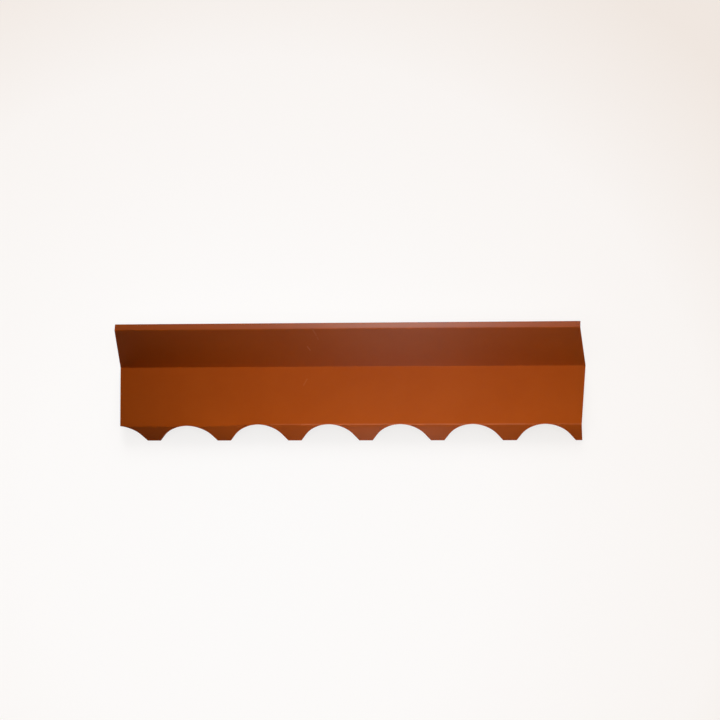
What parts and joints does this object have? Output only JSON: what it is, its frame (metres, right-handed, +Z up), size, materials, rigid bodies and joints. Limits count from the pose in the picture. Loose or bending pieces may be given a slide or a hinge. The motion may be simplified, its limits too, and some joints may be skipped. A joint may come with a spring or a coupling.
{
  "type": "roof ridge cap",
  "caption": "Folded steel ridge cap with an upstand and lip for the wall side and a sloping wing whose scalloped rim fits over a wave-shaped roof sheet.",
  "frame": {"origin": "centre of the bottom of the bounding box, on the floor that the cap lies on", "axes": "+X along the cap, to the right in the picture; +Y across it, from the scalloped rim to the wall side; +Z up"},
  "size_m": [1.202, 0.2938, 0.1098],
  "materials": {
    "painted_steel": "satin brown paint"
  },
  "bodies": {
    "root": {"ridge_cap": "painted_steel"}
  },
  "joints": []
}
